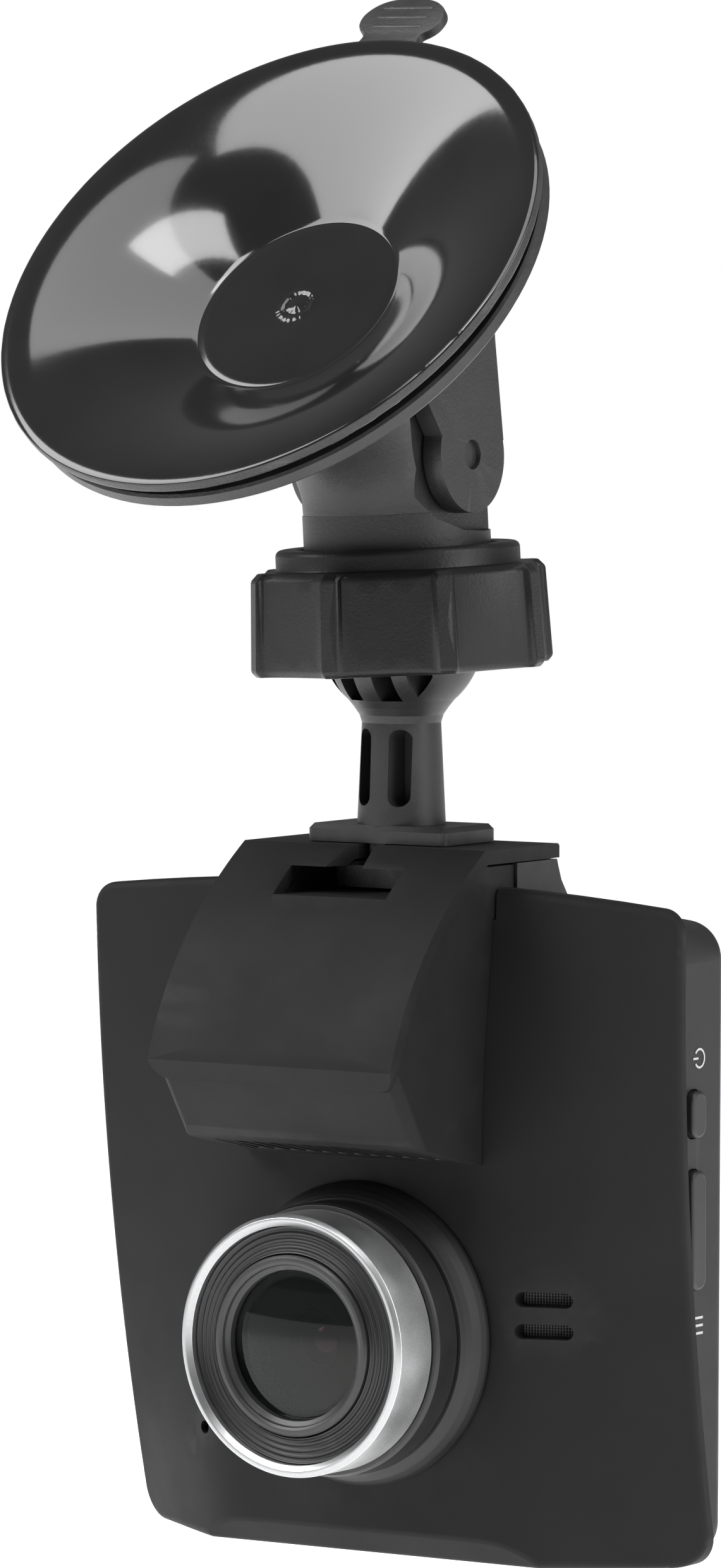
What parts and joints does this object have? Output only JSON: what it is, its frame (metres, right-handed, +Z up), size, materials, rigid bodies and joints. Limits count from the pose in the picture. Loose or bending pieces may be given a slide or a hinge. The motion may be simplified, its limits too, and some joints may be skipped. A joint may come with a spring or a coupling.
{
  "type": "dash camera",
  "caption": "Windscreen dash camera: suction mount with lock lever, clamped ball joint and stem, slide-off camera body with projecting lens, side buttons and rear screen.",
  "frame": {"origin": "centre of the suction cup's rim plane, where it meets the glass", "axes": "+Z up with the camera upright, the lens looks along -Y, +X is the side with the power and mode buttons"},
  "size_m": [0.0731, 0.0597, 0.1624],
  "materials": {
    "board": "solder mask",
    "case_grey": "fine-grained dark grey",
    "cell_wrap": "foil wrap",
    "chip": "moulded",
    "cup_pvc": "glossy black flexible PVC",
    "glass_dark": "coated glass",
    "glass_lens": "coated glass",
    "gloss_black": "gloss black",
    "mesh": "woven",
    "mount_black": "grained black plastic",
    "satin_black": "satin black",
    "silver": "satin silver",
    "soft_touch": "soft-touch matte black",
    "steel": "plated"
  },
  "bodies": {
    "base": {"base_dish": "mount_black", "suction_cup": "cup_pvc"},
    "puller": {"pull_stem": "satin_black", "lever_pin": "steel"},
    "lever": {"lock_lever": "mount_black"},
    "nut": {"clamp_nut": "mount_black"},
    "pan_ring": {"slip_ring": "satin_black"},
    "tilt_pad": {"ball_pad": "satin_black"},
    "arm": {"ball_stem": "mount_black"},
    "power_key": {"power_button": "satin_black"},
    "mode_key": {"mode_button": "satin_black"},
    "rear_key_1": {"key_1": "satin_black"},
    "rear_key_2": {"key_2": "satin_black"},
    "rear_key_3": {"key_3": "satin_black"},
    "rear_key_4": {"key_4": "satin_black"},
    "camera": {"battery": "cell_wrap", "board_link": "chip", "board_screws": "steel", "card_socket": "steel", "case_screws": "steel", "front_cover": "soft_touch", "front_glass": "glass_dark", "hood_housing": "soft_touch", "hood_screws": "steel", "hood_slab": "soft_touch", "image_sensor": "chip", "inner_lens": "glass_lens", "key_board": "board", "key_switches": "steel", "lcd_panel": "chip", "lens_barrel": "satin_black", "lens_cell": "satin_black", "lens_collar": "soft_touch", "lens_holder": "satin_black", "lens_insert": "satin_black", "lens_retainer": "satin_black", "lens_ring": "silver", "main_board": "board", "memory_chip": "chip", "microphone": "steel", "mode_switch": "steel", "power_socket": "steel", "power_switch": "steel", "processor": "chip", "rear_case": "case_grey", "rear_lens": "glass_lens", "reset_switch": "steel", "screen_frame": "satin_black", "screen_window": "gloss_black", "sensor_board": "board", "speaker": "chip", "speaker_mesh": "mesh", "vent_grille": "satin_black"}
  },
  "joints": [
    {"name": "stem_pull", "type": "slide", "parent": "base", "child": "puller", "axis": [-0.0257, -0.7412, 0.6708], "range_m": [0, 0.003], "deforming": ["suction_cup"]},
    {"name": "lever_turn", "type": "hinge", "parent": "puller", "child": "lever", "pos_m": [0.0008, 0.02298, -0.02079], "axis": [0.9993, -0.0005, 0.0378], "range_deg": [-60, 0]},
    {"name": "nut_turn", "type": "hinge", "parent": "base", "child": "nut", "pos_m": [0.00151, 0.0229, -0.03971], "axis": [-0.0378, -0.025, 0.999], "range_deg": [-90, 0]},
    {"name": "ball_pan", "type": "hinge", "parent": "base", "child": "pan_ring", "pos_m": [0.00151, 0.0229, -0.03971], "axis": [-0.0378, -0.025, 0.999], "continuous": true},
    {"name": "ball_tilt", "type": "hinge", "parent": "pan_ring", "child": "tilt_pad", "pos_m": [0.00151, 0.0229, -0.03971], "axis": [1, 0, 0], "range_deg": [-25, 25]},
    {"name": "ball_roll", "type": "hinge", "parent": "tilt_pad", "child": "arm", "pos_m": [0.00151, 0.0229, -0.03971], "axis": [0, 1, 0], "range_deg": [-20, 20]},
    {"name": "camera_slide", "type": "slide", "parent": "arm", "child": "camera", "axis": [0, 1, 0], "range_m": [0, 0.016]},
    {"name": "power_press", "type": "slide", "parent": "camera", "child": "power_key", "axis": [-1, 0, 0], "range_m": [0, 0.00035], "stiffness_N_per_m": 3000},
    {"name": "mode_press", "type": "slide", "parent": "camera", "child": "mode_key", "axis": [-1, 0, 0], "range_m": [0, 0.00035], "stiffness_N_per_m": 3000},
    {"name": "key_1_press", "type": "slide", "parent": "camera", "child": "rear_key_1", "axis": [0, -1, 0], "range_m": [0, 0.00035], "stiffness_N_per_m": 3000},
    {"name": "key_2_press", "type": "slide", "parent": "camera", "child": "rear_key_2", "axis": [0, -1, 0], "range_m": [0, 0.00035], "stiffness_N_per_m": 3000},
    {"name": "key_3_press", "type": "slide", "parent": "camera", "child": "rear_key_3", "axis": [0, -1, 0], "range_m": [0, 0.00035], "stiffness_N_per_m": 3000},
    {"name": "key_4_press", "type": "slide", "parent": "camera", "child": "rear_key_4", "axis": [0, -1, 0], "range_m": [0, 0.00035], "stiffness_N_per_m": 3000}
  ],
  "couplings": [
    {"joint": "lever_turn", "follows": "stem_pull", "rad_per_m": -349.07}
  ]
}
